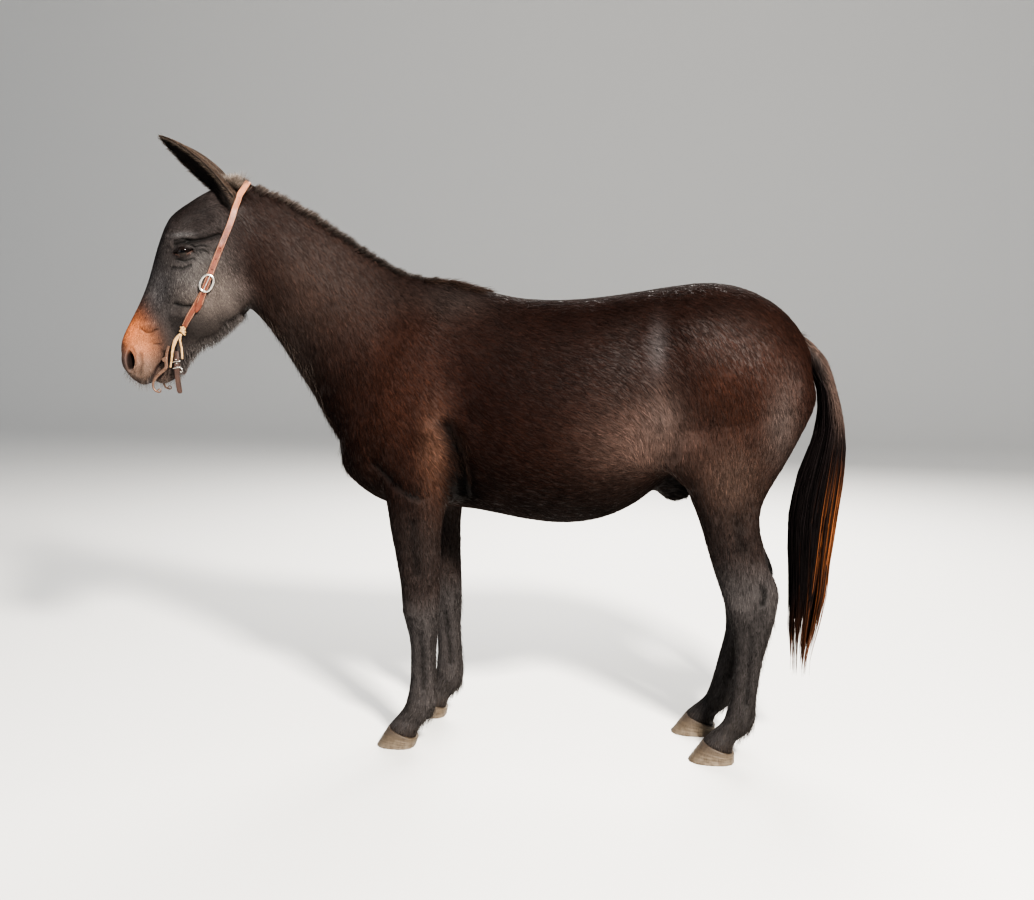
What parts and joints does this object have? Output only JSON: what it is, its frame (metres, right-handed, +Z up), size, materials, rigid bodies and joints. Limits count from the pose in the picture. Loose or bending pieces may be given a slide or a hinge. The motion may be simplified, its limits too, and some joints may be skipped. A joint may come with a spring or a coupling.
{
  "type": "standing mule wearing a leather bridle",
  "caption": "Life-size still model of a standing mule with long ears, head turned a little, wearing a leather headstall with a curb bit.",
  "frame": {"origin": "on the floor, under the middle of the model's box", "axes": "+X runs from the head to the tail, +Z is up, and the mule's left side faces -Y"},
  "size_m": [2.2296, 0.5386, 1.8742],
  "materials": {
    "coat": "short glossy dark brown hair",
    "long_hair": "long coarse black and brown hair",
    "eye": "wet and glossy",
    "horn": "worn matt horn",
    "leather": "oiled russet leather",
    "dark_leather": "dark worn leather",
    "rawhide": "pale dry rawhide",
    "buckle_metal": "worn satin",
    "bit_metal": "dull browned metal"
  },
  "bodies": {
    "root": {"torso": "coat", "neck": "coat", "head": "coat", "ear_left": "coat", "ear_right": "coat", "leg_front_left": "coat", "leg_front_right": "coat", "leg_hind_left": "coat", "leg_hind_right": "coat", "tail": "long_hair", "eye_left": "eye", "eye_right": "eye", "hoof_front_left": "horn", "hoof_front_right": "horn", "hoof_hind_left": "horn", "hoof_hind_right": "horn", "headstall_crown": "leather", "cheek_left": "leather", "cheek_right": "leather", "buckle_left": "buckle_metal", "buckle_right": "buckle_metal", "tie_left": "rawhide", "tie_right": "rawhide", "curb_bit": "bit_metal", "curb_strap": "dark_leather", "curb_loop": "buckle_metal"}
  },
  "joints": []
}
